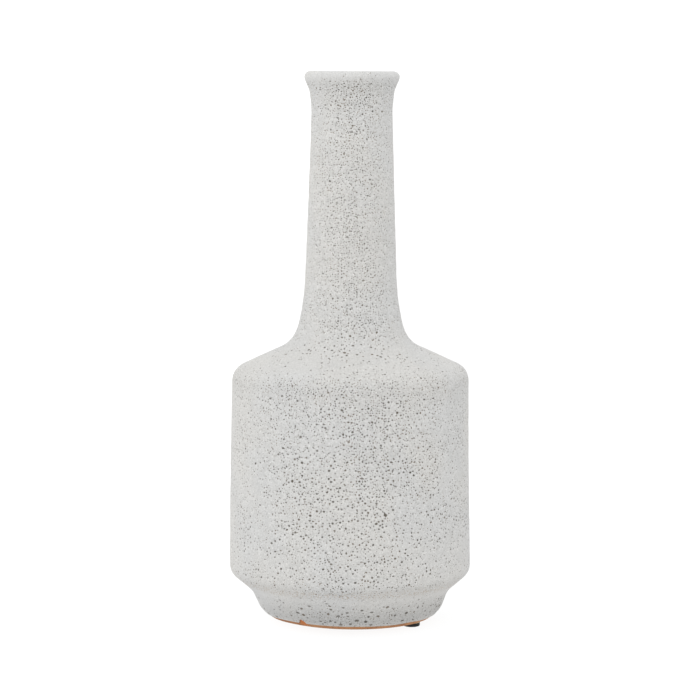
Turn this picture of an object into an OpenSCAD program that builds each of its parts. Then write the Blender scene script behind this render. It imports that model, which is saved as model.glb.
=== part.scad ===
// Bottle vase of fired clay with a matte glaze.
// Millimetres, +Z up. The origin is on the ground, on the axis the vase was turned about.
// Heights named here start at the underside of the clay foot.

/* [Foot] */
// Radius of the foot where it meets the ground plane
foot_r = 46.3; // [45.8:0.1:48]
// Radius of the foot where its side turns upright
foot_side_r = 51.4; // [50.5:0.1:52.5]
// Height at which the foot's side turns upright
foot_side_h = 6; // [5:0.1:7]
// Radius of the cove between the foot and the body
cove_r = 55.3; // [54:0.1:57]
// Height of the cove
cove_h = 15.5; // [14:0.1:17]
// Radius of the hollow turned into the underside
recess_r = 33.5; // [28:0.5:34]
// Depth of that hollow
recess_depth = 4.5; // [2:0.1:5]

/* [Body] */
// Radius of the body at its lower corner
body_low_r = 67.5; // [65:0.1:70]
// Height of the body's lower corner
body_low_h = 26.1; // [24:0.1:30]
// Radius of the body at the shoulder's corner
shoulder_r = 65.9; // [63:0.1:68]
// Height of the shoulder's corner
shoulder_h = 139.2; // [120:0.1:141]

/* [Neck] */
// Radius where the shoulder's slope meets the neck's foot
neck_root_r = 33.4; // [32:0.1:36]
// Height of that meeting
neck_root_h = 154.2; // [153:0.1:156]
// Radius at the end of the neck's sweep
neck_low_r = 25.8; // [25:0.1:27]
// Height of the end of the neck's sweep
neck_low_h = 180.5; // [176:0.1:186]
// Radius of the neck at its slimmest
neck_top_r = 22.4; // [21.5:0.1:23]
// Height of the neck's slimmest place
neck_top_h = 284; // [270:0.1:286]

/* [Lip] */
// Outer radius of the rolled lip
lip_r = 26.3; // [25.5:0.1:27.5]
// Radius of the mouth, glaze to glaze
mouth_r = 17.8; // [17:0.1:18.5]
// Height of the clay vase with its glaze, from foot to lip
lip_h = 304.8; // [300:0.1:312]
// Height of the rolled lip itself
lip_roll = 4.3; // [3.8:0.1:5]

/* [Wall and glaze] */
// Thickness of the wall with both coats of glaze
wall = 5.4; // [4.6:0.1:6]
// Height of the cavity's floor
floor_h = 14.4; // [13:0.1:18]
// Thickness of each coat of glaze
glaze_t = 0.8; // [0.5:0.05:1.2]
// Height at which the outer coat starts, above the bare rim of the foot
glaze_low_h = 2.1; // [1.8:0.1:3]
// Depth inside the mouth at which the outer coat ends and the lining starts
seam_depth = 9; // [6:0.5:12]
// Radius of the chip in the outer coat's lower edge
chip_r = 2.4; // [1.5:0.1:3]
// Direction of the chip round the axis
chip_angle = -124; // [-180:1:180]

/* [Pads] */
// Radius of a rubber foot pad
pad_r = 4.75; // [4:0.05:5]
// Height of a pad with its adhesive
pad_h = 2.2; // [1.5:0.1:3]
// Distance from the axis to the middle of a pad
pad_place_r = 39.9; // [39.5:0.1:40.2]
// Thickness of the adhesive disc on a pad
adhesive_t = 0.2; // [0.1:0.05:0.3]

/* [Hidden] */
$fn = 96;
arc_step = 6; // degrees between the points of an arc
spare_length = 0.98; // share of a straight side that its two roundings may use up

// Directions of the three pads, which were placed by hand.
front_angle = -32;
side_angle = 172;
back_angle = 70;

// Roundings of the glazed surface, from the foot up to the mouth.
foot_side_round = 11;
cove_round = 13;
body_low_round = 7.5;
shoulder_round = 9.5;
neck_root_round = 16.4;
sweep_round = 28;
neck_low_round = 105;
neck_top_round = 30;
lip_under_round = 6.7;
lip_side_round = 4.3;
lip_round = 3.2;
mouth_round = 3.6;

// Roundings of the clay, the glaze's edge and the pads.
foot_edge_round = 4.5;
recess_round = 1.5;
glaze_edge_round = 0.6;
pad_edge_round = 0.5;

// The cavity, a little narrower than the wall alone would leave it.
cavity_r = body_low_r - wall - 1;
cavity_round = 24;

// The neck's sweep bends once more this far outside and below its end.
sweep_out = 3.3;
sweep_down = 17.3;
// The underside of the lip starts this far inside and below the lip.
lip_under_in = 2.85;
lip_under_down = 10.9;
recess_taper = 1; // widening of the underside's hollow towards the ground
chip_reach = 6; // how far the chip's cutter runs to each side of the foot's edge
chip_drop = 0.3; // how far the chip's middle lies below the coat's lower edge
adhesive_margin = 0.25; // how far the adhesive stays inside its pad's edge

// Corners of the glazed surface as [radius, height, rounding], with the wall always on the left:
// up the outside, over the lip, and down the inside to the middle of the floor.
outside = fitted([
    [foot_r, 0, 0],
    [foot_side_r, foot_side_h, foot_side_round],
    [cove_r, cove_h, cove_round],
    [body_low_r, body_low_h, body_low_round],
    [shoulder_r, shoulder_h, shoulder_round],
    [neck_root_r, neck_root_h, neck_root_round],
    [neck_low_r + sweep_out, neck_low_h - sweep_down, sweep_round],
    [neck_low_r, neck_low_h, neck_low_round],
    [neck_top_r, neck_top_h, neck_top_round],
    [lip_r - lip_under_in, lip_h - lip_under_down, lip_under_round],
    [lip_r, lip_h - lip_roll, lip_side_round],
    [lip_r, lip_h, lip_round]
]);
shoulder_at = 4;
neck_top_at = 8;
throat = [
    for (i = [neck_top_at:-1:shoulder_at])
        concat(shifted(outside, i, wall), [inside_round(outside, i)])
];
// The seam lies on the straight line from the throat's slimmest place to the mouth.
seam_share = (lip_h - seam_depth - throat[0][1]) / (lip_h - throat[0][1]);
seam_r = throat[0][0] + (mouth_r - throat[0][0]) * seam_share;
seam = [seam_r, lip_h - seam_depth, 0];
inside = concat(
    [[mouth_r, lip_h, mouth_round], seam],
    throat,
    [[cavity_r, floor_h, cavity_round], [0, floor_h, 0]]
);
surface = fitted(concat(outside, inside));
seam_at = len(outside) + 1;

function unit(v) = v / norm(v);
function spot(p) = [p[0], p[1]];
function heading(path, i) = unit(spot(path[i + 1]) - spot(path[i]));
function heading_in(path, i) = heading(path, max(i - 1, 0));
function heading_out(path, i) = heading(path, min(i, len(path) - 2));
function left_of(v) = [-v[1], v[0]];

// Corner i of a path moved a distance into the wall.
function shifted(path, i, distance) =
    let (a = left_of(heading_in(path, i)), b = left_of(heading_out(path, i)))
    spot(path[i]) + distance * (a + b) / (1 + a * b);

// 1 where the path turns left round the wall, and -1 where it bends the other way.
function turning(path, i) = cross(heading_in(path, i), heading_out(path, i)) < 0 ? -1 : 1;
function shifted_round(path, i, distance) =
    path[i][2] == 0 ? 0 : path[i][2] - turning(path, i) * distance;
function inside_round(path, i) = shifted_round(path, i, wall);
function shifted_path(path, distance) =
    [for (i = [0:len(path) - 1]) concat(shifted(path, i, distance), [shifted_round(path, i, distance)])];

// Length of the tangent from corner i to its arc.
function reach(path, i) =
    path[i][2] == 0 ? 0 : path[i][2] * tan(acos(heading_in(path, i) * heading_out(path, i)) / 2);
function share(path, i) =
    i < 0 || i > len(path) - 2 || reach(path, i) + reach(path, i + 1) == 0 ? 1 :
    spare_length * norm(spot(path[i + 1]) - spot(path[i])) / (reach(path, i) + reach(path, i + 1));

// The path with each rounding cut down to what its two sides have room for.
function fitted(path) =
    [for (i = [0:len(path) - 1])
        [path[i][0], path[i][1], path[i][2] * min(1, share(path, i - 1), share(path, i))]];

function arc_points(path, i) =
    let (
        corner = spot(path[i]),
        back = unit(spot(path[i - 1]) - corner),
        on = unit(spot(path[i + 1]) - corner),
        half = acos(back * on) / 2,
        radius = path[i][2],
        centre = corner + unit(back + on) * radius / sin(half),
        start = corner + back * radius / tan(half) - centre,
        sweep = (180 - 2 * half) * turning(path, i),
        steps = max(2, ceil(abs(sweep) / arc_step)),
        from = atan2(start[1], start[0])
    )
    [for (k = [0:steps]) centre + radius * [cos(from + sweep * k / steps), sin(from + sweep * k / steps)]];

// The path as points, with an arc at each rounded corner.
function traced(path) = [
    for (i = [0:len(path) - 1])
        for (p = path[i][2] == 0 ? [spot(path[i])] : arc_points(path, i)) p
];
function reversed(list) = [for (i = [len(list) - 1:-1:0]) list[i]];
function part_of(list, first, last) = [for (i = [first:last]) list[i]];

clay_path = shifted_path(surface, glaze_t);
side_slope = heading(surface, 0);
clay_edge_r = foot_r - glaze_t / side_slope[1];
glaze_edge = spot(surface[0]) + side_slope * glaze_low_h / side_slope[1];

// The turned clay, with a hollow foot and bare where the glaze was wiped off the foot.
module clay_body() {
    foot = [
        [0, recess_depth, 0],
        [recess_r, recess_depth, recess_round],
        [recess_r + recess_taper, 0, 0],
        [clay_edge_r, 0, foot_edge_round]
    ];
    outline = concat(foot, part_of(clay_path, 1, len(clay_path) - 1));
    color("chocolate")
        translate([0, 0, pad_h])
            rotate_extrude()
                polygon(traced(outline));
}

// The matte coat outside and over the lip, with one chip in its lower edge.
module outer_glaze() {
    start = [glaze_edge[0], glaze_edge[1], glaze_edge_round];
    bed = start + glaze_t * concat(left_of(side_slope), [0]);
    skin = concat([[bed[0], bed[1], 0], start], part_of(surface, 1, seam_at));
    inner = traced(concat([[bed[0], bed[1], 0]], part_of(clay_path, 1, seam_at)));
    color("gainsboro")
        translate([0, 0, pad_h])
            difference() {
                rotate_extrude()
                    polygon(concat(traced(skin), reversed(part_of(inner, 1, len(inner) - 1))));
                rotate([0, 0, chip_angle])
                    translate([foot_r - chip_reach, 0, glaze_edge[1] - chip_drop])
                        rotate([0, 90, 0])
                            cylinder(r = chip_r, h = 2 * chip_reach);
            }
}

// The lining that makes the porous clay hold water.
module inner_glaze() {
    last = len(surface) - 1;
    skin = traced(part_of(surface, seam_at, last));
    under = traced(part_of(clay_path, seam_at, last));
    color("whitesmoke")
        translate([0, 0, pad_h])
            rotate_extrude()
                polygon(concat(skin, reversed(under)));
}

// A stick-on rubber pad, with its lower edge rounded.
module foot_pad(angle) {
    outline = [
        [0, 0, 0],
        [pad_r, 0, pad_edge_round],
        [pad_r, pad_h - adhesive_t, 0],
        [0, pad_h - adhesive_t, 0]
    ];
    color("black")
        rotate([0, 0, angle])
            translate([pad_place_r, 0, 0])
                rotate_extrude()
                    polygon(traced(outline));
}

// The disc of adhesive that holds a pad to the foot.
module pad_adhesive(angle) {
    color("khaki")
        rotate([0, 0, angle])
            translate([pad_place_r, 0, pad_h - adhesive_t])
                cylinder(r = pad_r - adhesive_margin, h = adhesive_t);
}

clay_body();
outer_glaze();
inner_glaze();
foot_pad(front_angle);  // foot_pad_front
foot_pad(side_angle);  // foot_pad_side
foot_pad(back_angle);  // foot_pad_back
pad_adhesive(front_angle);  // pad_adhesive_front
pad_adhesive(side_angle);  // pad_adhesive_side
pad_adhesive(back_angle);  // pad_adhesive_back
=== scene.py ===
"""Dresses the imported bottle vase: pitted matte glaze, bare clay foot, lining and rubber pads."""
import math

import bpy
import numpy as np
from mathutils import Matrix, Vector
from mathutils.geometry import delaunay_2d_cdt


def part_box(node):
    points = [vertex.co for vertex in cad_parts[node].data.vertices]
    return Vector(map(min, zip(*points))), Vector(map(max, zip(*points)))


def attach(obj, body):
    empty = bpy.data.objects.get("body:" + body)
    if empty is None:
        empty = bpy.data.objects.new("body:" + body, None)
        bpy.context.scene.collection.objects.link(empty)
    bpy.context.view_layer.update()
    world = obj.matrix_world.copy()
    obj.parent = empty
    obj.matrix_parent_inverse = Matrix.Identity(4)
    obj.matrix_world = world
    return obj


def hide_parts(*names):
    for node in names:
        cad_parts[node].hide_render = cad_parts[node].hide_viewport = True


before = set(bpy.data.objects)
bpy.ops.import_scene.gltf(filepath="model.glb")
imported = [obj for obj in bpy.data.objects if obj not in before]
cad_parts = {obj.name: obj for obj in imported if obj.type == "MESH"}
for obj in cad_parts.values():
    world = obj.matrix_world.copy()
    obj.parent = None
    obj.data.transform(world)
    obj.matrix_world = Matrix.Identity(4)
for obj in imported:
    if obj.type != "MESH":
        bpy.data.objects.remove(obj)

MM = 0.001
TURN = 2 * math.pi
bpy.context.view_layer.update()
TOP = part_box("outer_glaze")[1][2]
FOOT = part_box("clay_body")[0][2]

# The maker's unevenness.
LEAN_NECK = 0.8 * MM  # the rim stands this far to +X
LEAN_BODY = -0.55 * MM  # and the middle of the body this far the other way
BODY_TOP = FOOT + 139 * MM
RIM_TILT = -0.005  # rise of the rim per metre of X
FOOT_LIFT = 0.62 * MM  # the foot's outer edge was trimmed this much higher at the front than at +X
FOOT_EVEN = 0.5  # share of that rise that is lost at -X
FOOT_DROP = 0.2 * MM  # and the edge at +X is this much lower than the CAD's
UNEVEN = 0.09 * MM  # how far the wall strays from round
RINGS = 0.03 * MM  # height of the faint throwing rings
PEEL = 0.022 * MM  # gentle waves of the matte coat

# The glaze's lower edge and its chip.
EDGE_WAVE = 0.33 * MM
EDGE_REACH = 9 * MM  # the waves die out this far up the coat
EDGE_TREND = 0.4 * MM  # the bare rim is taller at one side
EDGE_TREND_ANGLE = math.radians(-35)
EDGE_RADIUS = 47 * MM  # the foot's radius where the waves are read
CHIP_ANGLE = math.radians(-122.8)
CHIP_RADIUS = 48 * MM  # the foot's radius at the chip
CHIP_WIDTH = 2.6 * MM  # half of the gap in the glaze
CHIP_HEIGHT = 3.7 * MM
CHIP_LIFT = 0.22 * MM  # the glaze stands out this much beside it
CHIP_SCOOP = 0.45 * MM  # and the clay is hollowed this deep


# ------------------------------------------------------------------ outlines read from the frame
CUT_X = 0.011 * MM  # the cut misses the vertices that lie on X = 0
STRAIGHT = math.radians(0.8)
CORNER = math.radians(35)
STEP = 0.2 * MM
SNAP_REACH = 0.2 * MM  # a corner moves no further than this to a vertex
SNAP_SAME = 0.02 * MM  # nearer corners count as one
AXIS_HOLE = 1.2 * MM  # the flat fan at the axis starts here


def cut_segments(node):
    """Where the plane X = CUT_X cuts a node's triangles, as pairs of (y, z) points."""
    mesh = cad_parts[node].data
    mesh.calc_loop_triangles()
    for triangle in mesh.loop_triangles:
        corners = sorted(tuple(mesh.vertices[i].co) for i in triangle.vertices)
        ends = []
        for a, b in ((0, 1), (0, 2), (1, 2)):
            p, q = corners[a], corners[b]
            if (p[0] < CUT_X) != (q[0] < CUT_X):
                t = (CUT_X - p[0]) / (q[0] - p[0])
                ends.append((p[1] + (q[1] - p[1]) * t, p[2] + (q[2] - p[2]) * t))
        if len(ends) == 2 and ends[0] != ends[1]:
            yield ends


def outline(node):
    """Half of a turned node's section as points (radius, height), with the clay on the left.

    A node that crosses the axis gives an open path from axis to axis, any other a closed loop."""
    links = {}
    for a, b in cut_segments(node):
        links.setdefault(a, []).append(b)
        links.setdefault(b, []).append(a)
    start = max(links)
    loop, last, here = [start], None, start
    while True:
        onward = [p for p in links[here] if p != last and p != here]
        if not onward or onward[0] == start or len(loop) > len(links):
            break
        last, here = here, onward[0]
        loop.append(here)
    path = np.array(loop)
    closed = path[:, 0].min() > 0
    if not closed:
        inside = path[:, 0] > 0
        first = next(i for i in range(len(path)) if inside[i] and not inside[i - 1])
        path = np.roll(path, -first, axis=0)
        path = path[: int(inside.sum())]
    path = without_straights(path, closed)
    path = snapped(node, path)
    area = np.sum(path[:, 0] * np.roll(path[:, 1], -1) - np.roll(path[:, 0], -1) * path[:, 1])
    if not closed:
        path[0, 0] = path[-1, 0] = 0
        area = np.sum(path[:, 0] * np.roll(path[:, 1], -1) - np.roll(path[:, 0], -1) * path[:, 1])
    return (path if area > 0 else path[::-1]), closed


def turn_at(before, here, after):
    a, b = here - before, after - here
    return abs(math.atan2(a[0] * b[1] - a[1] * b[0], a @ b))


def without_straights(path, closed):
    """The path without the points that lie on a straight run."""
    kept = list(path)
    again = True
    while again:
        again = False
        out = []
        n = len(kept)
        for i, p in enumerate(kept):
            end = not closed and i in (0, n - 1)
            before = out[-1] if out else kept[i - 1]
            if end or turn_at(before, p, kept[(i + 1) % n]) > STRAIGHT:
                out.append(p)
            else:
                again = True
        kept = out
    return np.array(kept)


def snapped(node, path):
    """Each corner moved to the nearest of the node's vertices, which lie on the true surface."""
    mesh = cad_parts[node].data
    co = np.empty(3 * len(mesh.vertices))
    mesh.vertices.foreach_get("co", co)
    co = co.reshape(-1, 3)
    radius = np.hypot(co[:, 0], co[:, 1])
    section = np.unique(np.round(np.column_stack([radius, co[:, 2]]), 6), axis=0)
    out = []
    for p in path:
        near = section[np.argmin(np.sum((section - p) ** 2, axis=1))]
        near = near if np.linalg.norm(near - p) < SNAP_REACH else p
        if not out or np.linalg.norm(near - out[-1]) > SNAP_SAME:
            out.append(near)
    return np.array(out)


class Path:
    """A smooth outline: place, outward normal and bend at any length along it."""

    def __init__(self, points, closed):
        self.closed = closed
        if closed:
            points = np.vstack([points, points[:1]])
        chords = np.diff(points, axis=0)
        lengths = np.linalg.norm(chords, axis=1)
        units = chords / lengths[:, None]
        n = len(chords)
        place = []
        for i in range(n):
            before, after = (i - 1, (i + 1) % n) if closed else (max(i - 1, 0), min(i + 1, n - 1))
            t0 = self.tangent(units[before], units[i], lengths[before], lengths[i], units[i])
            t1 = self.tangent(units[i], units[after], lengths[i], lengths[after], units[i])
            count = max(2, int(lengths[i] / STEP))
            t = (np.arange(count) / count)[:, None]
            span = lengths[i]
            place.append(
                (2 * t**3 - 3 * t**2 + 1) * points[i]
                + (t**3 - 2 * t**2 + t) * span * t0
                + (3 * t**2 - 2 * t**3) * points[i + 1]
                + (t**3 - t**2) * span * t1
            )
        place.append(points[-1:])
        self.rz = np.vstack(place)
        steps = np.linalg.norm(np.diff(self.rz, axis=0), axis=1)
        self.s = np.concatenate([[0], np.cumsum(steps)])
        self.length = self.s[-1]
        tangent = np.gradient(self.rz, self.s, axis=0)
        tangent /= np.linalg.norm(tangent, axis=1)[:, None]
        self.normal = np.column_stack([tangent[:, 1], -tangent[:, 0]])
        middle = np.maximum((self.rz[1:, 0] + self.rz[:-1, 0]) / 2, AXIS_HOLE / 2)
        self.w = np.concatenate([[0], np.cumsum(steps / middle)])
        angle = np.unwrap(np.arctan2(tangent[:, 1], tangent[:, 0]))
        self.bend = np.abs(np.gradient(angle, self.s))

    @staticmethod
    def tangent(a, b, length_a, length_b, own):
        """The direction where two chords meet, or the chord's own at a sharp corner."""
        if abs(math.atan2(a[0] * b[1] - a[1] * b[0], a @ b)) > CORNER:
            return own
        t = a * length_a + b * length_b
        return t / np.linalg.norm(t)

    def at(self, s):
        return np.interp(s, self.s, self.rz[:, 0]), np.interp(s, self.s, self.rz[:, 1])

    def out(self, s):
        r, z = np.interp(s, self.s, self.normal[:, 0]), np.interp(s, self.s, self.normal[:, 1])
        size = np.maximum(np.hypot(r, z), 0.1)
        return r / size, z / size


# ------------------------------------------------------------------ smooth seeded unevenness
def waves(seed, length, count=28):
    """A smooth function of place with features about this long, mean 0 and deviation about 1."""
    rng = np.random.default_rng(seed)
    direction = rng.normal(size=(count, 3))
    direction /= np.linalg.norm(direction, axis=1)[:, None]
    k = direction * (TURN / length) * rng.uniform(0.7, 1.4, size=(count, 1))
    phase = rng.uniform(0, TURN, size=count)

    def value(points):
        return np.cos(points @ k.T + phase).sum(axis=1) * math.sqrt(2 / count)

    return value


round_error = waves(3, 90 * MM)
ring_error = waves(4, 6 * MM)
peel_slow, peel_quick = waves(5, 9 * MM), waves(6, 3.5 * MM)
edge_error = waves(8, 33 * MM)
patch_big, patch_small = waves(11, 34 * MM), waves(12, 11 * MM)


def smooth(low, high, x):
    t = np.clip((x - low) / (high - low), 0, 1)
    return t * t * (3 - 2 * t)


def on_circle(phi, r, z):
    return np.column_stack([r * np.cos(phi), r * np.sin(phi), z])


def chip_distance(phi):
    """Distance along the foot from the chip's middle, in metres."""
    d = (phi - CHIP_ANGLE + math.pi) % TURN - math.pi
    return d * CHIP_RADIUS


def edge_rise(phi):
    """How far the glaze's lower edge strays up from the line where it was wiped off."""
    circle = on_circle(phi, EDGE_RADIUS, 0 * phi)
    wave = EDGE_WAVE * edge_error(circle)
    slide = EDGE_TREND * np.cos(phi - EDGE_TREND_ANGLE)
    d = np.abs(chip_distance(phi)) / CHIP_WIDTH
    chip = CHIP_HEIGHT * np.clip(1 - d**1.5, 0, 1) ** 0.9
    shoulder = 0.25 * MM * np.exp(-((d - 1.15) / 0.35) ** 2)
    return wave + slide + chip - shoulder


def uneven(phi, r, z):
    """The turned places moved by lean, tilt and out-of-round, and nowhere at the foot."""
    level = smooth(FOOT + 6 * MM, FOOT + 40 * MM, z)
    ideal = on_circle(phi, r, z)
    r = r + level * UNEVEN * round_error(ideal * (1, 1, 0.6))
    r = r + level * RINGS * ring_error(on_circle(0.15 * phi, 6 * MM + 0 * r, z))
    x, y = r * np.cos(phi), r * np.sin(phi)
    neck = np.clip((z - BODY_TOP) / (TOP - BODY_TOP), 0, 1)
    body = np.sin(math.pi * np.clip((z - FOOT) / (BODY_TOP - FOOT), 0, 1))
    even = 1 - FOOT_EVEN * smooth(0.65, 1, -np.cos(phi))
    trim = FOOT_LIFT * (1 - np.cos(phi)) * even - FOOT_DROP
    lift = trim * (1 - smooth(FOOT + 3 * MM, FOOT + 14 * MM, z))
    z = z + RIM_TILT * x * smooth(TOP - 60 * MM, TOP, z) + lift * smooth(40 * MM, 45 * MM, r)
    return np.column_stack([x + LEAN_NECK * neck + LEAN_BODY * body, y, z])


# ------------------------------------------------------------------ pits of the matte glaze
# From the foot up: the height of the zone's middle, craters per square centimetre, share that are small,
# middle radius of a large one, how dark they are (darker clay and painted shade in the hollow), and how many
# pinholes lie between them.
ZONES = (
    ("foot", 9, 10.5, 0.40, 0.66, 0.86, 0.85),
    ("foot's top", 14, 8.0, 0.45, 0.62, 0.80, 0.35),
    ("cove", 20, 3.5, 0.80, 0.44, 0.80, 0.14),
    ("lower edge", 31, 12.0, 0.40, 0.52, 0.92, 0.65),
    ("low body", 60, 17.0, 0.44, 0.48, 0.96, 0.70),
    ("high body", 110, 20.2, 0.48, 0.44, 1.00, 1.12),
    ("shoulder's corner", 137, 18.0, 0.60, 0.41, 0.98, 1.15),
    ("shoulder's edge", 143, 7.5, 0.50, 0.45, 1.00, 0.20),
    ("shoulder", 151, 7.5, 0.24, 0.57, 1.00, 0.05),
    ("shoulder's top", 157, 9.0, 0.45, 0.45, 1.00, 0.40),
    ("neck's foot", 166, 18.0, 0.80, 0.40, 0.98, 1.50),
    ("low neck", 195, 14.5, 0.88, 0.38, 1.00, 1.60),
    ("high neck", 265, 16.5, 0.84, 0.40, 1.00, 1.95),
    ("under the lip", 291, 24.0, 0.70, 0.42, 1.00, 1.80),
    ("lip's overhang", 298.3, 26.0, 0.70, 0.42, 1.00, 1.70),
    ("lip's side", 300.6, 4.0, 0.95, 0.32, 0.35, 0.20),
    ("lip", 304.5, 2.0, 1.00, 0.30, 0.40, 0.08),
)
SMALL_RADIUS = 0.40 * MM
GAP = 1.18  # least distance between two pits, as a share of the sum of their radii
CALM = 0.38  # how much the calm patches thin the pits out
SIDE_CALM = 0.38  # and how much busier the front is than the skin 60 degrees to either side
NECK_EVEN = 0.45  # share of the patchiness that the neck keeps
CALM_SMALL = 0.45  # how many more of the pits are small in a calm patch
EDGE_CLEAR = 1.6 * MM  # no pit lies nearer to either end of the skin
CELL = 2.4 * MM  # pits are looked up in cubes of this size
PIT_DEPTH = 0.62  # as a share of the pit's radius
RING_IN, RING_OUT, RING_SMALL = 4, 6, 5  # points in each ring of a crater


def zone_value(column, z):
    heights = [FOOT + zone[1] * MM for zone in ZONES]
    return np.interp(z, heights, [zone[column] for zone in ZONES])


# How light the coat is painted by height above the foot in mm: painted shade low on the foot, painted light
# in the cove, a little lighter at the very bottom edge and a little darker over the shoulder.
PAINTED_SHADING_HEIGHTS = (0, 2.2, 5, 8.5, 13, 18, 25, 120, 136, 146, 156, 170)
PAINTED_SHADING_VALUES = (1.02, 0.96, 0.79, 0.80, 0.92, 1.09, 0.99, 0.985, 0.955, 0.955, 0.955, 0.99)
LEFT_PAINTED_LIGHT = 0.24  # painted light: how much lighter the foot is painted at -X, the side its light comes from


def painted_shading_by_height(z):
    heights = [FOOT + h * MM for h in PAINTED_SHADING_HEIGHTS]
    # painted light: from 7 mm to 2 mm below the top the coat is painted up to 2% lighter
    return np.interp(z, heights, PAINTED_SHADING_VALUES) * (1 + 0.02 * smooth(TOP - 7 * MM, TOP - 2 * MM, z))


def busy(points, phi):
    """About 1, more in busy patches and less in calm ones."""
    slow = patch_big(points) * 0.6 + patch_small(points) * 0.45
    slow = slow * (1 - (1 - NECK_EVEN) * smooth(FOOT + 155 * MM, FOOT + 175 * MM, points[:, 2]))
    sides = SIDE_CALM * np.cos(3 * (phi + math.pi / 2))
    return np.clip(1 + CALM * slow * 0.8 + sides, 0.12, 1.8)


def scattered(path, first, last):
    """Craters on the skin between two lengths: angle, length, radius, darkness, stretch."""
    rng = np.random.default_rng(21)
    fine = np.linspace(first, last, 4000)
    r, z = path.at(fine)
    share = np.cumsum(r)
    area = TURN * float(np.mean(r)) * (last - first)
    most = max(zone[2] for zone in ZONES) * 1.8 * 1e4
    count = int(area * most)
    s = np.interp(rng.random(count), share / share[-1], fine)
    phi = rng.random(count) * TURN
    r, z = path.at(s)
    points = on_circle(phi, r, z)
    wanted = zone_value(2, z) * 1e4 * busy(points, phi)
    keep = rng.random(count) * most < wanted
    s, phi, r, z, points = s[keep], phi[keep], r[keep], z[keep], points[keep]
    count = len(s)
    calm = 1 - busy(points, phi)
    small = rng.random(count) < zone_value(3, z) + CALM_SMALL * calm
    large_radius = zone_value(4, z) * MM * np.exp(rng.normal(0, 0.2, count))
    radius = np.where(small, SMALL_RADIUS * np.exp(rng.normal(0, 0.16, count)), large_radius)
    dark = zone_value(5, z) * np.where(small, rng.uniform(0.5, 1, count), rng.uniform(0.7, 1, count))
    stretch = np.where(z < FOOT + 18 * MM, rng.uniform(1.0, 1.65, count), rng.uniform(1, 1.2, count))
    order = np.argsort(-radius, kind="stable")
    grid, kept = {}, []
    for i in order:
        p = points[i]
        key = tuple((p // CELL).astype(int))
        clear = True
        for dx in (-1, 0, 1):
            for dy in (-1, 0, 1):
                for dz in (-1, 0, 1):
                    for j in grid.get((key[0] + dx, key[1] + dy, key[2] + dz), ()):
                        d = points[j] - p
                        if d @ d < (GAP * (radius[i] * stretch[i] + radius[j] * stretch[j])) ** 2:
                            clear = False
        if clear:
            grid.setdefault(key, []).append(i)
            kept.append(i)
    kept = np.array(sorted(kept))
    inside = (s[kept] > first + EDGE_CLEAR) & (s[kept] < last - EDGE_CLEAR)
    kept = kept[inside]
    return [a[kept] for a in (phi, s, radius, dark, stretch, small)]


# ------------------------------------------------------------------ meshes of turned forms
def rows(path, spacing, rng):
    """Rows of points round the axis, about as far apart as spacing says at each length."""
    start = 0.0
    end = path.length
    if not path.closed:
        radius = path.rz[:, 0]
        start = path.s[np.argmax(radius > AXIS_HOLE)]
        end = path.s[len(radius) - 1 - np.argmax(radius[::-1] > AXIS_HOLE)]
    fine = np.linspace(start, end, 6000)
    r, _ = path.at(fine)
    h = np.minimum(spacing(fine), r * 0.52)
    step = fine[1] - fine[0]
    for i in range(1, len(h)):
        h[i] = min(h[i], h[i - 1] + 0.35 * step)
    for i in range(len(h) - 2, -1, -1):
        h[i] = min(h[i], h[i + 1] + 0.35 * step)
    if path.closed:
        h[0] = h[-1] = min(h[0], h[-1])
    density = np.concatenate([[0], np.cumsum((1 / h[1:] + 1 / h[:-1]) / 2 * step)])
    count = int(round(density[-1] / 0.87))
    places = np.interp(np.linspace(0, density[-1], count + 1), density, fine)
    made = []
    for k, s in enumerate(places):
        around = max(8, int(round(TURN * np.interp(s, fine, r) / np.interp(s, fine, h))))
        phi = (np.arange(around) + 0.5 * (k % 2)) * TURN / around
        edge = k in (0, count)
        if edge:
            phi = np.arange(around) * TURN / around
        jitter = 0 if edge else 0.16
        phi = phi + rng.uniform(-jitter, jitter, around) * TURN / around
        shift = rng.uniform(-jitter, jitter, around) * np.interp(s, fine, h)
        made.append((phi % TURN, s + shift))
    if path.closed:
        made[-1] = (made[0][0], np.full(len(made[0][0]), end))
    return made


def pit_points(path, pits, rng):
    """Points of each crater as angle, w, depth, hollow, tone and rim. w is the outline's stretched length."""
    phi, s, radius, dark, stretch, small = pits
    r, _ = path.at(s)
    w = np.interp(s, path.s, path.w)
    made = [[], [], [], [], [], []]

    def add(which, count, share, depth, hollow, rim):
        n = int(which.sum())
        if count == 1:
            angle = np.zeros((n, 1))
        else:
            angle = rng.random((n, 1)) * TURN + np.arange(count) * TURN / count
            angle = angle + rng.uniform(-0.12, 0.12, (n, count))
        squash = rng.random((n, 1)) * TURN
        size = radius[which][:, None] * share * (1 + 0.1 * np.cos(2 * angle + squash))
        along = size * np.cos(angle) * stretch[which][:, None]
        up = size * np.sin(angle)
        rr = r[which][:, None]
        made[0].append((phi[which][:, None] + along / rr).ravel())
        made[1].append((w[which][:, None] + up / rr).ravel())
        ones = np.ones((1, count))
        made[2].append((-depth * radius[which][:, None] * ones).ravel())
        made[3].append(np.full(n * count, hollow))
        made[4].append((dark[which][:, None] * ones).ravel())
        made[5].append(np.full(n * count, rim))

    large = ~small
    add(large, 1, 0.0, PIT_DEPTH, 1.0, 0)
    add(large, RING_IN, 0.58, PIT_DEPTH * 0.85, 1.0, 0)
    add(large, RING_OUT, 1.0, -0.06, 0.0, 1)
    add(small, 1, 0.0, PIT_DEPTH * 0.9, 1.0, 0)
    add(small, RING_SMALL, 1.0, -0.04, 0.0, 1)
    return [np.concatenate(m) for m in made]


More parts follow.
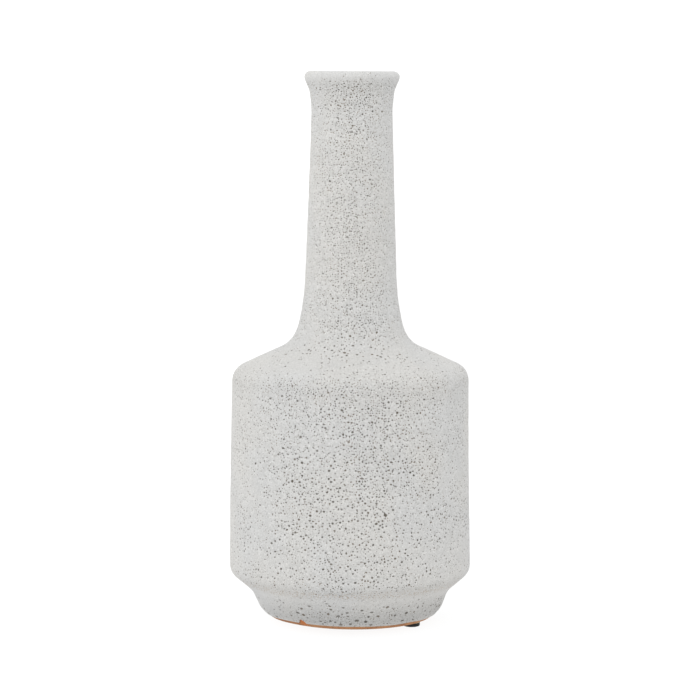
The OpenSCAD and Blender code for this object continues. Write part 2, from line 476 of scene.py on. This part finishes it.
def triangulated(phi, w):
    """Delaunay triangles on the unrolled surface, joined round the axis."""
    n = len(phi)
    margin = 0.9
    low, high = np.nonzero(phi < margin)[0], np.nonzero(phi > TURN - margin)[0]
    every = np.concatenate([np.arange(n), low, high])
    x = np.concatenate([phi, phi[low] + TURN, phi[high] - TURN])
    y = w[every]
    points = [Vector(p) for p in np.column_stack([x, y]).tolist()]
    out, _, faces, origin, _, _ = delaunay_2d_cdt(points, [], [], 0, 1e-9)
    back = np.array([o[0] for o in origin])
    faces = back[np.array([f for f in faces if len(f) == 3])]
    middle = x[faces].mean(axis=1)
    faces = faces[(middle >= 0) & (middle < TURN)]
    return every[faces]


def turned(name, path, spacing, seed, pits=None, shape=None):
    """A mesh of the whole outline turned round the axis, with craters. Gives the object and its marks."""
    rng = np.random.default_rng(seed)
    made = rows(path, spacing, rng)
    first, last = len(made[0][0]), len(made[-1][0])
    phi = np.concatenate([m[0] for m in made])
    s = np.concatenate([np.broadcast_to(m[1], m[0].shape) for m in made])
    w = np.interp(s, path.s, path.w)
    n = len(phi)
    depth, hollow, tone, rim = np.zeros((4, n))
    if pits is not None:
        clear = far_from_pits(path, phi, s, pits)
        clear[:first] = True
        clear[n - last :] = True
        keep = np.nonzero(clear)[0]
        every = [a[keep] for a in (phi, w, depth, hollow, tone, rim)]
        at = len(keep) - last
        phi, w, depth, hollow, tone, rim = [
            np.concatenate([a[:at], b, a[at:]]) for a, b in zip(every, pit_points(path, pits, rng))
        ]
        phi %= TURN
    s = np.interp(w, path.w, path.s)
    n = len(phi)
    faces = triangulated(phi, w)
    if path.closed:
        same = np.arange(n)
        same[n - last :] = np.arange(last)
        faces = same[faces]
        n -= last
        phi, s, depth, hollow, tone, rim = [a[:n] for a in (phi, s, depth, hollow, tone, rim)]
    co, marks = shape(phi, s, depth)
    if pits is not None:
        marks |= {"hollow": hollow, "tone": tone, "rim": rim}
    faces = faces.tolist()
    if not path.closed:
        axis = [(0.0, 0.0, path.rz[0, 1]), (0.0, 0.0, path.rz[-1, 1])]
        ends = uneven(np.zeros(2), np.zeros(2), np.array([a[2] for a in axis]))
        co = np.vstack([co, ends])
        ring = np.argsort(phi[:first], kind="stable")
        faces += [(n, ring[(i + 1) % first], ring[i]) for i in range(first)]
        ring = n - last + np.argsort(phi[n - last :], kind="stable")
        faces += [(n + 1, ring[i], ring[(i + 1) % last]) for i in range(last)]
        marks = {k: np.concatenate([v, [v[0], v[-1]]]) for k, v in marks.items()}
    mesh = bpy.data.meshes.new(name)
    mesh.from_pydata(co.tolist(), [], [[int(i) for i in f] for f in faces])
    mesh.update()
    mesh.shade_smooth()
    for key, value in marks.items():
        layer = mesh.attributes.new(key, "FLOAT", "POINT")
        layer.data.foreach_set("value", np.asarray(value, dtype=np.float32))
    piece = bpy.data.objects.new(name, mesh)
    bpy.context.collection.objects.link(piece)
    return piece


def far_from_pits(path, phi, s, pits):
    """Whether each point lies clear of every crater."""
    r, z = path.at(s)
    points = on_circle(phi, r, z)
    pr, pz = path.at(pits[1])
    centres = on_circle(pits[0], pr, pz)
    reach = pits[2] * pits[4] * 1.45
    grid = {}
    for j, key in enumerate(map(tuple, (centres // CELL).astype(int))):
        grid.setdefault(key, []).append(j)
    clear = np.ones(len(phi), bool)
    for i, key in enumerate(map(tuple, (points // CELL).astype(int))):
        for dx in (-1, 0, 1):
            for dy in (-1, 0, 1):
                for dz in (-1, 0, 1):
                    for j in grid.get((key[0] + dx, key[1] + dy, key[2] + dz), ()):
                        d = centres[j] - points[i]
                        if d @ d < reach[j] ** 2:
                            clear[i] = False
    return clear


def bend_spacing(path, share, least, most):
    """Spacing that follows the outline's bends."""
    wide = np.ones(15) / 15
    bend = np.convolve(np.minimum(path.bend, 1 / least), wide, mode="same")
    h = np.clip(share / np.maximum(bend, 1e-3), least, most)

    def spacing(s):
        return np.interp(s, path.s, h)

    return spacing


# ------------------------------------------------------------------ materials
def material(name):
    mat = bpy.data.materials.new(name)
    mat.use_nodes = True
    tree = mat.node_tree
    return mat, tree, tree.nodes["Principled BSDF"]


def node(tree, kind, values=None, links=None, **props):
    """A shader node with its values set and its inputs linked."""
    made = tree.nodes.new(kind)
    for key, value in props.items():
        setattr(made, key, value)
    for key, value in (values or {}).items():
        made.inputs[key].default_value = value
    for key, socket in (links or {}).items():
        tree.links.new(socket, made.inputs[key])
    return made


def place(tree):
    return tree.nodes.new("ShaderNodeTexCoord").outputs["Object"]


def noise(tree, where, size, detail=2.0, rough=0.5):
    """Noise with features about this size in metres."""
    values = {"Scale": 1 / size, "Detail": detail, "Roughness": rough}
    return node(tree, "ShaderNodeTexNoise", values, {"Vector": where}).outputs["Fac"]


def spread(tree, value, low, high, to_low, to_high, kind="LINEAR"):
    values = {"From Min": low, "From Max": high, "To Min": to_low, "To Max": to_high}
    return node(
        tree, "ShaderNodeMapRange", values, {"Value": value}, interpolation_type=kind, clamp=True
    ).outputs["Result"]


def maths(tree, operation, a, b=None):
    made = tree.nodes.new("ShaderNodeMath")
    made.operation = operation
    for socket, value in zip(made.inputs, (a, b)):
        if isinstance(value, (int, float)):
            socket.default_value = value
        elif value is not None:
            tree.links.new(value, socket)
    return made.outputs["Value"]


def mixed(tree, factor, a, b):
    """A colour mix; a and b are colours or sockets."""
    made = tree.nodes.new("ShaderNodeMix")
    made.data_type = "RGBA"
    sockets = [made.inputs[0], made.inputs[6], made.inputs[7]]
    for socket, value in zip(sockets, (factor, a, b)):
        if isinstance(value, (int, float)):
            socket.default_value = value
        elif isinstance(value, tuple):
            socket.default_value = (*value, 1)
        else:
            tree.links.new(value, socket)
    return made.outputs[2]


def scaled_colour(tree, colour, value):
    """A colour made lighter or darker by a socket's value."""
    grey = node(tree, "ShaderNodeCombineColor", links={"Red": value, "Green": value, "Blue": value})
    made = tree.nodes.new("ShaderNodeMix")
    made.data_type = "RGBA"
    made.blend_type = "MULTIPLY"
    made.inputs[0].default_value = 1
    tree.links.new(colour, made.inputs[6])
    tree.links.new(grey.outputs["Color"], made.inputs[7])
    return made.outputs[2]


def mark(tree, name):
    return node(tree, "ShaderNodeAttribute", attribute_name=name).outputs["Fac"]


DOT_DEPTH = 0.24  # a spot's middle lies within this share of the spacing from the skin


def dots(tree, where, spacing, least, most, share, random=0.8):
    """Round spots of random size on the skin, 1 in a spot and 0 outside, and the ring round each.

    A cell of the texture holds a spot if its middle lies near the skin, and share says how near."""
    values = {"Scale": 1 / spacing, "Randomness": random}
    cells = node(tree, "ShaderNodeTexVoronoi", values, {"Vector": where})
    offset = node(tree, "ShaderNodeVectorMath", links={0: where, 1: cells.outputs["Position"]},
                  operation="SUBTRACT").outputs["Vector"]
    normal = tree.nodes.new("ShaderNodeTexCoord").outputs["Normal"]
    depth = node(tree, "ShaderNodeVectorMath", links={0: offset, 1: normal},
                 operation="DOT_PRODUCT").outputs["Value"]
    square = node(tree, "ShaderNodeVectorMath", links={0: offset, 1: offset},
                  operation="DOT_PRODUCT").outputs["Value"]
    across = maths(tree, "SUBTRACT", square, maths(tree, "MULTIPLY", depth, depth))
    across = maths(tree, "SQRT", maths(tree, "MAXIMUM", across, 0.0))
    tint = node(tree, "ShaderNodeSeparateColor", links={"Color": cells.outputs["Color"]})
    radius = spread(tree, tint.outputs["Red"], 0, 1, least, most)
    fill = maths(tree, "DIVIDE", maths(tree, "SUBTRACT", radius, across), radius)
    if isinstance(share, bpy.types.NodeSocket):
        near = maths(tree, "MULTIPLY", share, DOT_DEPTH * spacing)
    else:
        near = share * DOT_DEPTH * spacing
    held = maths(tree, "LESS_THAN", maths(tree, "ABSOLUTE", depth), near)
    spot = maths(tree, "MULTIPLY", spread(tree, fill, 0.0, 0.3, 0, 1, "SMOOTHSTEP"), held)
    ring = maths(tree, "MULTIPLY", spread(tree, fill, -0.5, -0.12, 0, 1, "SMOOTHSTEP"), held)
    return spot, ring


GLAZE = (0.455, 0.455, 0.449)
GLAZE_WARM = (0.466, 0.461, 0.447)
# The craters' dark insides: darker clay showing through, deepened as painted shade in the hollows.
PIT_GREY_AND_SHADE = (0.080, 0.072, 0.057)
PIT_OCHRE_AND_SHADE = (0.165, 0.120, 0.070)
SPECK_OCHRE = (0.29, 0.19, 0.095)
SPECK_FROM = (21.5 * MM, 23.5 * MM)  # the band of specks fades in between these heights
SPECK_TO = (25.5 * MM, 28.5 * MM)  # and out between these


def glaze_material():
    """The matte coat: cloudy grey-white, craters and pinholes dark with clay and painted shade, painted
    highlights on the craters' raised edges, and painted light and shade by height.
    """
    mat, tree, shader = material("matte_glaze")
    where = place(tree)
    base = mixed(tree, spread(tree, noise(tree, where, 42 * MM), 0.4, 0.6, 0, 1), GLAZE, GLAZE_WARM)
    cloud = spread(tree, noise(tree, where, 14 * MM, 3.0), 0.3, 0.7, 0.982, 1.016)
    grain = spread(tree, noise(tree, where, 0.8 * MM, 2.0, 0.7), 0.3, 0.7, 0.86, 1.14)
    spark = spread(tree, noise(tree, where, 0.6 * MM, 1.0), 0.56, 0.68, 1.0, 1.16)
    lightness = maths(tree, "MULTIPLY", maths(tree, "MULTIPLY", cloud, grain), spark)
    base = scaled_colour(tree, base, lightness)
    # painted light and shade: darker on the foot, lighter in the cove, at the lip and on the foot's left
    base = scaled_colour(tree, base, mark(tree, "coat"))

    fine = mark(tree, "fine")
    beside = maths(tree, "MAXIMUM", mark(tree, "rim"), mark(tree, "hollow"))
    fine = maths(tree, "MULTIPLY", fine, spread(tree, beside, 0.3, 0.8, 1, 0.45))
    holes, hole_rim_highlights = dots(tree, where, 1.46 * MM, 0.27 * MM, 0.41 * MM, fine, 0.7)
    pricks, _ = dots(tree, where, 1.15 * MM, 0.16 * MM, 0.28 * MM, fine)
    holes = maths(tree, "MAXIMUM", holes, maths(tree, "MULTIPLY", pricks, 0.45))
    # painted highlights on the raised edges of the craters and round the pinholes
    rim_highlights = spread(tree, mark(tree, "rim"), 0.6, 1, 0, 0.15)
    rim_highlights = spread(tree, maths(tree, "MAXIMUM", rim_highlights, hole_rim_highlights), 0, 1, 1.0, 1.22)
    base = scaled_colour(tree, base, rim_highlights)
    craters = spread(tree, mark(tree, "hollow"), 0.05, 0.4, 0, 1, "SMOOTHSTEP")
    craters = maths(tree, "MULTIPLY", craters, mark(tree, "tone"))
    tint = spread(tree, noise(tree, where, 5 * MM), 0.47, 0.66, 0, 0.65)
    # The dark fill of craters and pinholes: partly darker clay, partly painted shade in the hollows.
    inside = mixed(tree, tint, PIT_GREY_AND_SHADE, PIT_OCHRE_AND_SHADE)
    shown = mixed(tree, maths(tree, "MULTIPLY", holes, 0.92), base, inside)
    shown = mixed(tree, craters, shown, inside)

    height = node(tree, "ShaderNodeSeparateXYZ", links={"Vector": where}).outputs["Z"]
    band = maths(tree, "MULTIPLY",
                 spread(tree, height, *SPECK_FROM, 0, 1), spread(tree, height, *SPECK_TO, 1, 0))
    specks, _ = dots(tree, where, 1.3 * MM, 0.25 * MM, 0.55 * MM, 1.2)
    specks = maths(tree, "MULTIPLY", maths(tree, "MULTIPLY", band, specks), 0.55)
    shown = mixed(tree, specks, shown, SPECK_OCHRE)
    tree.links.new(shown, shader.inputs["Base Color"])

    rough = spread(tree, noise(tree, where, 2.5 * MM, 3.0), 0.3, 0.7, 0.66, 0.82)
    rough = maths(tree, "ADD", rough, maths(tree, "MULTIPLY", craters, 0.1))
    tree.links.new(rough, shader.inputs["Roughness"])
    shader.inputs["Specular IOR Level"].default_value = 0.32
    relief = maths(tree, "SUBTRACT",
                   maths(tree, "MULTIPLY", noise(tree, where, 0.55 * MM, 3.0, 0.6), 0.35), holes)
    bump = node(tree, "ShaderNodeBump", {"Strength": 0.55, "Distance": 0.16 * MM}, {"Height": relief})
    tree.links.new(bump.outputs["Normal"], shader.inputs["Normal"])
    return mat


def lining_material():
    """The lining: the same white, smoother and a little glossier, with a few pinholes."""
    mat, tree, shader = material("lining_glaze")
    where = place(tree)
    cloud = spread(tree, noise(tree, where, 12 * MM, 3.0), 0.3, 0.7, 0.95, 1.04)
    base = mixed(tree, spread(tree, noise(tree, where, 30 * MM), 0.4, 0.6, 0, 1),
                 (0.56, 0.55, 0.52), (0.60, 0.585, 0.54))
    holes, _ = dots(tree, where, 2.6 * MM, 0.12 * MM, 0.3 * MM, 0.5)
    # The pinholes are painted with the pits' grey, partly painted shade in the holes.
    shown = mixed(tree, maths(tree, "MULTIPLY", holes, 0.6), scaled_colour(tree, base, cloud), PIT_GREY_AND_SHADE)
    tree.links.new(shown, shader.inputs["Base Color"])
    rough = spread(tree, noise(tree, where, 4 * MM, 2.0), 0.3, 0.7, 0.34, 0.5)
    tree.links.new(rough, shader.inputs["Roughness"])
    relief = maths(tree, "SUBTRACT", noise(tree, where, 3 * MM, 2.0), holes)
    bump = node(tree, "ShaderNodeBump", {"Strength": 0.3, "Distance": 0.1 * MM}, {"Height": relief})
    tree.links.new(bump.outputs["Normal"], shader.inputs["Normal"])
    return mat


def clay_material():
    """Bare fired clay: gritty orange-brown with pale grog and dark iron specks."""
    mat, tree, shader = material("fired_clay")
    where = place(tree)
    tone = spread(tree, noise(tree, where, 7 * MM, 3.0), 0.34, 0.66, 0, 1)
    base = mixed(tree, tone, (0.268, 0.118, 0.052), (0.415, 0.212, 0.104))
    fresh = mark(tree, "fresh")
    base = mixed(tree, fresh, base, (0.50, 0.165, 0.05))
    grain = spread(tree, noise(tree, where, 0.5 * MM, 3.0, 0.65), 0.3, 0.7, 0.86, 1.14)
    base = scaled_colour(tree, base, grain)
    grog, _ = dots(tree, where, 1.5 * MM, 0.1 * MM, 0.3 * MM, 0.3)
    iron, _ = dots(tree, where, 2.3 * MM, 0.08 * MM, 0.26 * MM, 0.35)
    base = mixed(tree, maths(tree, "MULTIPLY", grog, 0.55), base, (0.62, 0.40, 0.25))
    base = mixed(tree, maths(tree, "MULTIPLY", iron, 0.7), base, (0.09, 0.05, 0.035))
    tree.links.new(base, shader.inputs["Base Color"])
    rough = spread(tree, noise(tree, where, 1.2 * MM, 2.0), 0.3, 0.7, 0.82, 0.96)
    tree.links.new(rough, shader.inputs["Roughness"])
    shader.inputs["Specular IOR Level"].default_value = 0.2
    relief = maths(tree, "ADD", noise(tree, where, 0.45 * MM, 3.0, 0.65), maths(tree, "MULTIPLY", grog, 0.4))
    bump = node(tree, "ShaderNodeBump", {"Strength": 0.6, "Distance": 0.15 * MM}, {"Height": relief})
    tree.links.new(bump.outputs["Normal"], shader.inputs["Normal"])
    return mat


def rubber_material():
    """Black rubber of the stick-on pads, a little dusty."""
    mat, tree, shader = material("pad_rubber")
    where = place(tree)
    dust = spread(tree, noise(tree, where, 1.8 * MM, 4.0, 0.7), 0.5, 0.78, 0, 0.5)
    base = mixed(tree, dust, (0.006, 0.006, 0.0065), (0.032, 0.030, 0.027))
    tree.links.new(base, shader.inputs["Base Color"])
    rough = spread(tree, noise(tree, where, 1.1 * MM, 3.0), 0.3, 0.7, 0.42, 0.66)
    tree.links.new(rough, shader.inputs["Roughness"])
    shader.inputs["Specular IOR Level"].default_value = 0.25
    bump = node(tree, "ShaderNodeBump", {"Strength": 0.35, "Distance": 0.05 * MM},
                {"Height": noise(tree, where, 0.25 * MM, 2.0)})
    tree.links.new(bump.outputs["Normal"], shader.inputs["Normal"])
    return mat


def adhesive_material():
    """Pale yellowish adhesive film."""
    mat, tree, shader = material("adhesive")
    where = place(tree)
    tone = spread(tree, noise(tree, where, 1.4 * MM, 3.0), 0.3, 0.7, 0, 1)
    base = mixed(tree, tone, (0.55, 0.47, 0.27), (0.70, 0.62, 0.42))
    tree.links.new(base, shader.inputs["Base Color"])
    rough = spread(tree, noise(tree, where, 0.8 * MM, 2.0), 0.3, 0.7, 0.4, 0.6)
    tree.links.new(rough, shader.inputs["Roughness"])
    return mat


# ------------------------------------------------------------------ pieces
def finished(piece, mat, slot, *nodes):
    piece.data.materials.clear()
    piece.data.materials.append(mat)
    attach(piece, "root")
    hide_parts(*nodes)
    return piece


def glaze_coat():
    """The matte coat from the bare rim of the foot up over the lip, with its craters."""
    points, closed = outline("outer_glaze")
    lowest = int(np.argmin(points[:, 1]))
    path = Path(np.roll(points, -lowest, axis=0), closed)
    top = path.s[np.argmax(path.rz[:, 1])]
    after = path.s > top
    falling = np.diff(path.rz[:, 1], prepend=path.rz[0, 1]) < 0
    end = path.s[np.argmax(after & ~falling & (path.s > top + 4 * MM))]
    pits = scattered(path, 0, end)
    by_bend = bend_spacing(path, 0.18, 1.35 * MM, 5.0 * MM)

    def spacing(s):
        skin = np.minimum(by_bend(s), 0.75 * MM + 0.28 * s)
        under = np.clip(by_bend(s) * 1.6, 2.2 * MM, 7 * MM)
        near = np.minimum(under, 0.75 * MM + 0.35 * np.minimum(path.length - s, s - end))
        return np.where(s <= end, skin, np.maximum(near, 0.75 * MM))

    def shape(phi, s, depth):
        near_edge = np.minimum(s, path.length - s)
        fade = 1 - smooth(0, 1, near_edge / EDGE_REACH)
        shift = edge_rise(phi) * fade
        moved = np.clip(np.where(s <= end, s + shift, s - shift), 0, path.length)
        r, z = path.at(moved)
        nr, nz = path.out(s)
        skin = (s > 0.2 * MM) & (s < end - 0.2 * MM)
        here = on_circle(phi, r, z)
        wave = PEEL * (0.7 * peel_slow(here) + 0.5 * peel_quick(here)) * smooth(0, 3 * MM, s) * skin
        beside = np.abs(chip_distance(phi)) - CHIP_WIDTH * 0.5
        chip = CHIP_LIFT * np.exp(-((s - 0.7 * MM) / (0.9 * MM)) ** 2) * np.exp(
            -(beside / (1.3 * MM)) ** 2) * skin
        out = depth + wave + chip
        co = uneven(phi, r + nr * out, z + nz * out)
        fine = np.maximum(busy(here, phi) ** 1.2 * zone_value(6, z), 0.05)
        low = 1 - smooth(FOOT + 9 * MM, FOOT + 17 * MM, z)
        # painted light: the foot is painted lighter towards -X
        left = LEFT_PAINTED_LIGHT * np.clip(-np.cos(phi), 0, 1) ** 4 * low
        # the coat mark holds painted light and shade: by height, and lighter on the foot's left
        return co, {"fine": fine, "coat": painted_shading_by_height(z) * (1 + left)}

    piece = turned("glaze_coat", path, spacing, 31, pits, shape)
    return finished(piece, glaze_material(), "matte_glaze", "outer_glaze")


def clay_vase():
    """The turned clay, of which the foot's rim and hollow underside show."""
    points, closed = outline("clay_body")
    path = Path(points, closed)
    by_bend = bend_spacing(path, 0.25, 1.2 * MM, 7 * MM)

    def spacing(s):
        _, z = path.at(s)
        low = np.where(z < FOOT + 9 * MM, 1.3 * MM, 7 * MM)
        return np.minimum(low, by_bend(s))

    def shape(phi, s, depth):
        r, z = path.at(s)
        nr, nz = path.out(s)
        off = np.hypot(chip_distance(phi), z - FOOT - 3.0 * MM)
        bite = np.exp(-((off / (1.9 * MM)) ** 2)) * (r > 40 * MM)
        grit = 0.03 * MM * peel_quick(on_circle(phi, r, z)) * (z < FOOT + 9 * MM) * (z > FOOT + 0.4 * MM)
        out = grit - CHIP_SCOOP * bite
        co = uneven(phi, r + nr * out, z + nz * out)
        return co, {"fresh": np.clip(1.5 * bite, 0, 1)}

    piece = turned("clay_vase", path, spacing, 32, None, shape)
    return finished(piece, clay_material(), "fired_clay", "clay_body")


def lining():
    """The lining glaze from below the mouth to the floor, with the throwing rings it follows."""
    points, closed = outline("inner_glaze")
    path = Path(points, closed)
    turn_back = path.s[np.argmax(path.rz[:, 1])]
    by_bend = bend_spacing(path, 0.3, 1.2 * MM, 7 * MM)

    def spacing(s):
        return np.where(s > turn_back, np.minimum(by_bend(s), 3.2 * MM), by_bend(s))

    def shape(phi, s, depth):
        r, z = path.at(s)
        nr, nz = path.out(s)
        rings = 0.12 * MM * np.sin(TURN * (s / (7 * MM)) + phi) * (s > turn_back + 2 * MM) * smooth(
            2 * MM, 12 * MM, r)
        co = uneven(phi, r + nr * rings, z + nz * rings)
        return co, {}

    piece = turned("lining_glaze_coat", path, spacing, 33, None, shape)
    return finished(piece, lining_material(), "lining_glaze", "inner_glaze")


PAD_BEVEL = 0.75 * MM
PAD_EDGE = 0.2 * MM  # round of the upper edge
PAD_WAIST = 0.03 * MM
PAD_SIDES = 64


def foot_pad(where, mat, seed):
    """One stick-on pad: a low round of rubber with a rolled lower edge and a slight waist."""
    low, high = (np.array(v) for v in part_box("foot_pad_" + where))
    middle, half = (low + high) / 2, (high - low) / 2
    radius, height = half[0], high[2] - low[2]
    profile = [(0.0, 0.0), (radius * 0.45, 0.0), (radius - 1.9 * PAD_BEVEL, 0.0)]
    for k in range(1, 9):
        a = math.pi / 2 * k / 8
        profile.append((radius - PAD_BEVEL + PAD_BEVEL * math.sin(a) - 0.02 * MM,
                        PAD_BEVEL * (1 - math.cos(a))))
    profile += [(radius, height * 0.55), (radius - PAD_WAIST, height * 0.8)]
    for k in range(0, 5):
        a = math.pi / 2 * k / 4
        profile.append((radius - PAD_EDGE * (1 - math.cos(a)) - PAD_WAIST,
                        height - PAD_EDGE * (1 - math.sin(a))))
    profile += [(radius * 0.5, height), (0.0, height)]
    co, faces = [], []
    rng = np.random.default_rng(seed)
    wobble = rng.uniform(0, TURN, 2)
    for r, z in profile[1:-1]:
        for i in range(PAD_SIDES):
            a = TURN * i / PAD_SIDES
            oval = 0.006 * (1 + math.cos(2 * a + wobble[0])) / 2
            three = 0.004 * (1 + math.cos(3 * a + wobble[1])) / 2
            rr = r * (1 - oval - three)
            co.append((middle[0] + rr * math.cos(a), middle[1] + rr * math.sin(a), low[2] + z))
    rings = len(profile) - 2
    for k in range(rings - 1):
        for i in range(PAD_SIDES):
            j = (i + 1) % PAD_SIDES
            here, above = k * PAD_SIDES, (k + 1) * PAD_SIDES
            faces.append((here + i, here + j, above + j, above + i))
    co += [(middle[0], middle[1], low[2]), (middle[0], middle[1], high[2])]
    for i in range(PAD_SIDES):
        j = (i + 1) % PAD_SIDES
        faces.append((len(co) - 2, j, i))
        faces.append((len(co) - 1, (rings - 1) * PAD_SIDES + i, (rings - 1) * PAD_SIDES + j))
    mesh = bpy.data.meshes.new("pad_" + where)
    mesh.from_pydata(co, [], faces)
    mesh.update()
    mesh.shade_smooth()
    piece = bpy.data.objects.new("rubber_pad_" + where, mesh)
    bpy.context.collection.objects.link(piece)
    return finished(piece, mat, "pad_rubber", "foot_pad_" + where)


def dressed_adhesive():
    mat = adhesive_material()
    for where in ("front", "side", "back"):
        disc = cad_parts["pad_adhesive_" + where]
        disc.data.materials.clear()
        disc.data.materials.append(mat)


# ------------------------------------------------------------------ floor, light, camera
FLOOR_GLOW = 0.69  # the floor is a lit white table, so its shadows stay pale
FLOOR_GLOW_LEFT = 0.88  # and it is lit more from the left
FLOOR_HALF = 30.0
FLOOR_LOW = -0.02 * MM  # just under the pads, so that no faces share a plane


def floor():
    mesh = bpy.data.meshes.new("floor")
    ends = ((-1, -1), (1, -1), (1, 1), (-1, 1))
    corners = [(x * FLOOR_HALF, y * FLOOR_HALF, FLOOR_LOW) for x, y in ends]
    mesh.from_pydata(corners, [], [(0, 1, 2, 3)])
    mat, tree, shader = material("floor")
    tone = spread(tree, noise(tree, place(tree), 0.5, 2.0), 0.3, 0.7, 0, 1)
    base = mixed(tree, tone, (0.085, 0.085, 0.085), (0.09, 0.09, 0.09))
    tree.links.new(base, shader.inputs["Base Color"])
    shader.inputs["Emission Color"].default_value = (1, 1, 1, 1)
    across = node(tree, "ShaderNodeSeparateXYZ", links={"Vector": place(tree)}).outputs["X"]
    glow = spread(tree, across, -0.2, 0.0, FLOOR_GLOW_LEFT, FLOOR_GLOW, "SMOOTHSTEP")
    tree.links.new(glow, shader.inputs["Emission Strength"])
    shader.inputs["Roughness"].default_value = 0.9
    shader.inputs["Specular IOR Level"].default_value = 0.0
    mesh.materials.append(mat)
    made = bpy.data.objects.new("floor", mesh)
    bpy.context.collection.objects.link(made)


SKY_STRENGTH = 1.0
SKY_TREND = (-0.045, -0.11, 0.185)  # how the sky's light grows towards each axis
KEY_POWER = 0.45
KEY_SIDE = 0.9
KEY_PLACE = (-0.55, -1.0, 1.15)
KEY_AIM = (0, 0, 0.16)
EXPOSURE = 0.42


def light():
    """An even white studio, a little brighter above and to the left, and one wide soft lamp."""
    world = bpy.data.worlds.new("studio")
    bpy.context.scene.world = world
    world.use_nodes = True
    tree = world.node_tree
    sky = tree.nodes["Background"]
    direction = tree.nodes.new("ShaderNodeTexCoord").outputs["Generated"]
    dot = node(tree, "ShaderNodeVectorMath", links={0: direction}, operation="DOT_PRODUCT")
    dot.inputs[1].default_value = SKY_TREND
    tree.links.new(maths(tree, "ADD", dot.outputs["Value"], SKY_STRENGTH), sky.inputs["Strength"])
    sky.inputs["Color"].default_value = (1, 1, 1, 1)
    lamp = bpy.data.lights.new("key", "AREA")
    lamp.shape = "RECTANGLE"
    lamp.size, lamp.size_y = KEY_SIDE, KEY_SIDE
    lamp.energy = KEY_POWER
    made = bpy.data.objects.new("key", lamp)
    bpy.context.collection.objects.link(made)
    made.location = KEY_PLACE
    aim = Vector(KEY_AIM) - made.location
    made.rotation_euler = aim.to_track_quat("-Z", "Y").to_euler()
    view = bpy.context.scene.view_settings
    view.view_transform = "Standard"
    view.look = "None"
    view.exposure = EXPOSURE
    view.gamma = 1.0


EYE_DISTANCE = 1.472
EYE_X = -0.34 * MM
PITCH = math.radians(6.01)
SENSOR = 36.0  # mm
LENS = 136.2857  # mm


def camera():
    data = bpy.data.cameras.new("camera")
    data.sensor_width = SENSOR
    data.lens = LENS
    data.dof.use_dof = False
    data.clip_end = 100
    made = bpy.data.objects.new("camera", data)
    bpy.context.collection.objects.link(made)
    made.location = (EYE_X, -EYE_DISTANCE, TOP)
    made.rotation_euler = (math.pi / 2 - PITCH, 0, 0)
    bpy.context.scene.camera = made


camera()
light()
floor()
glaze_coat()
clay_vase()
lining()
rubber = rubber_material()
for number, side in enumerate(("front", "side", "back")):
    foot_pad(side, rubber, 41 + number)
dressed_adhesive()
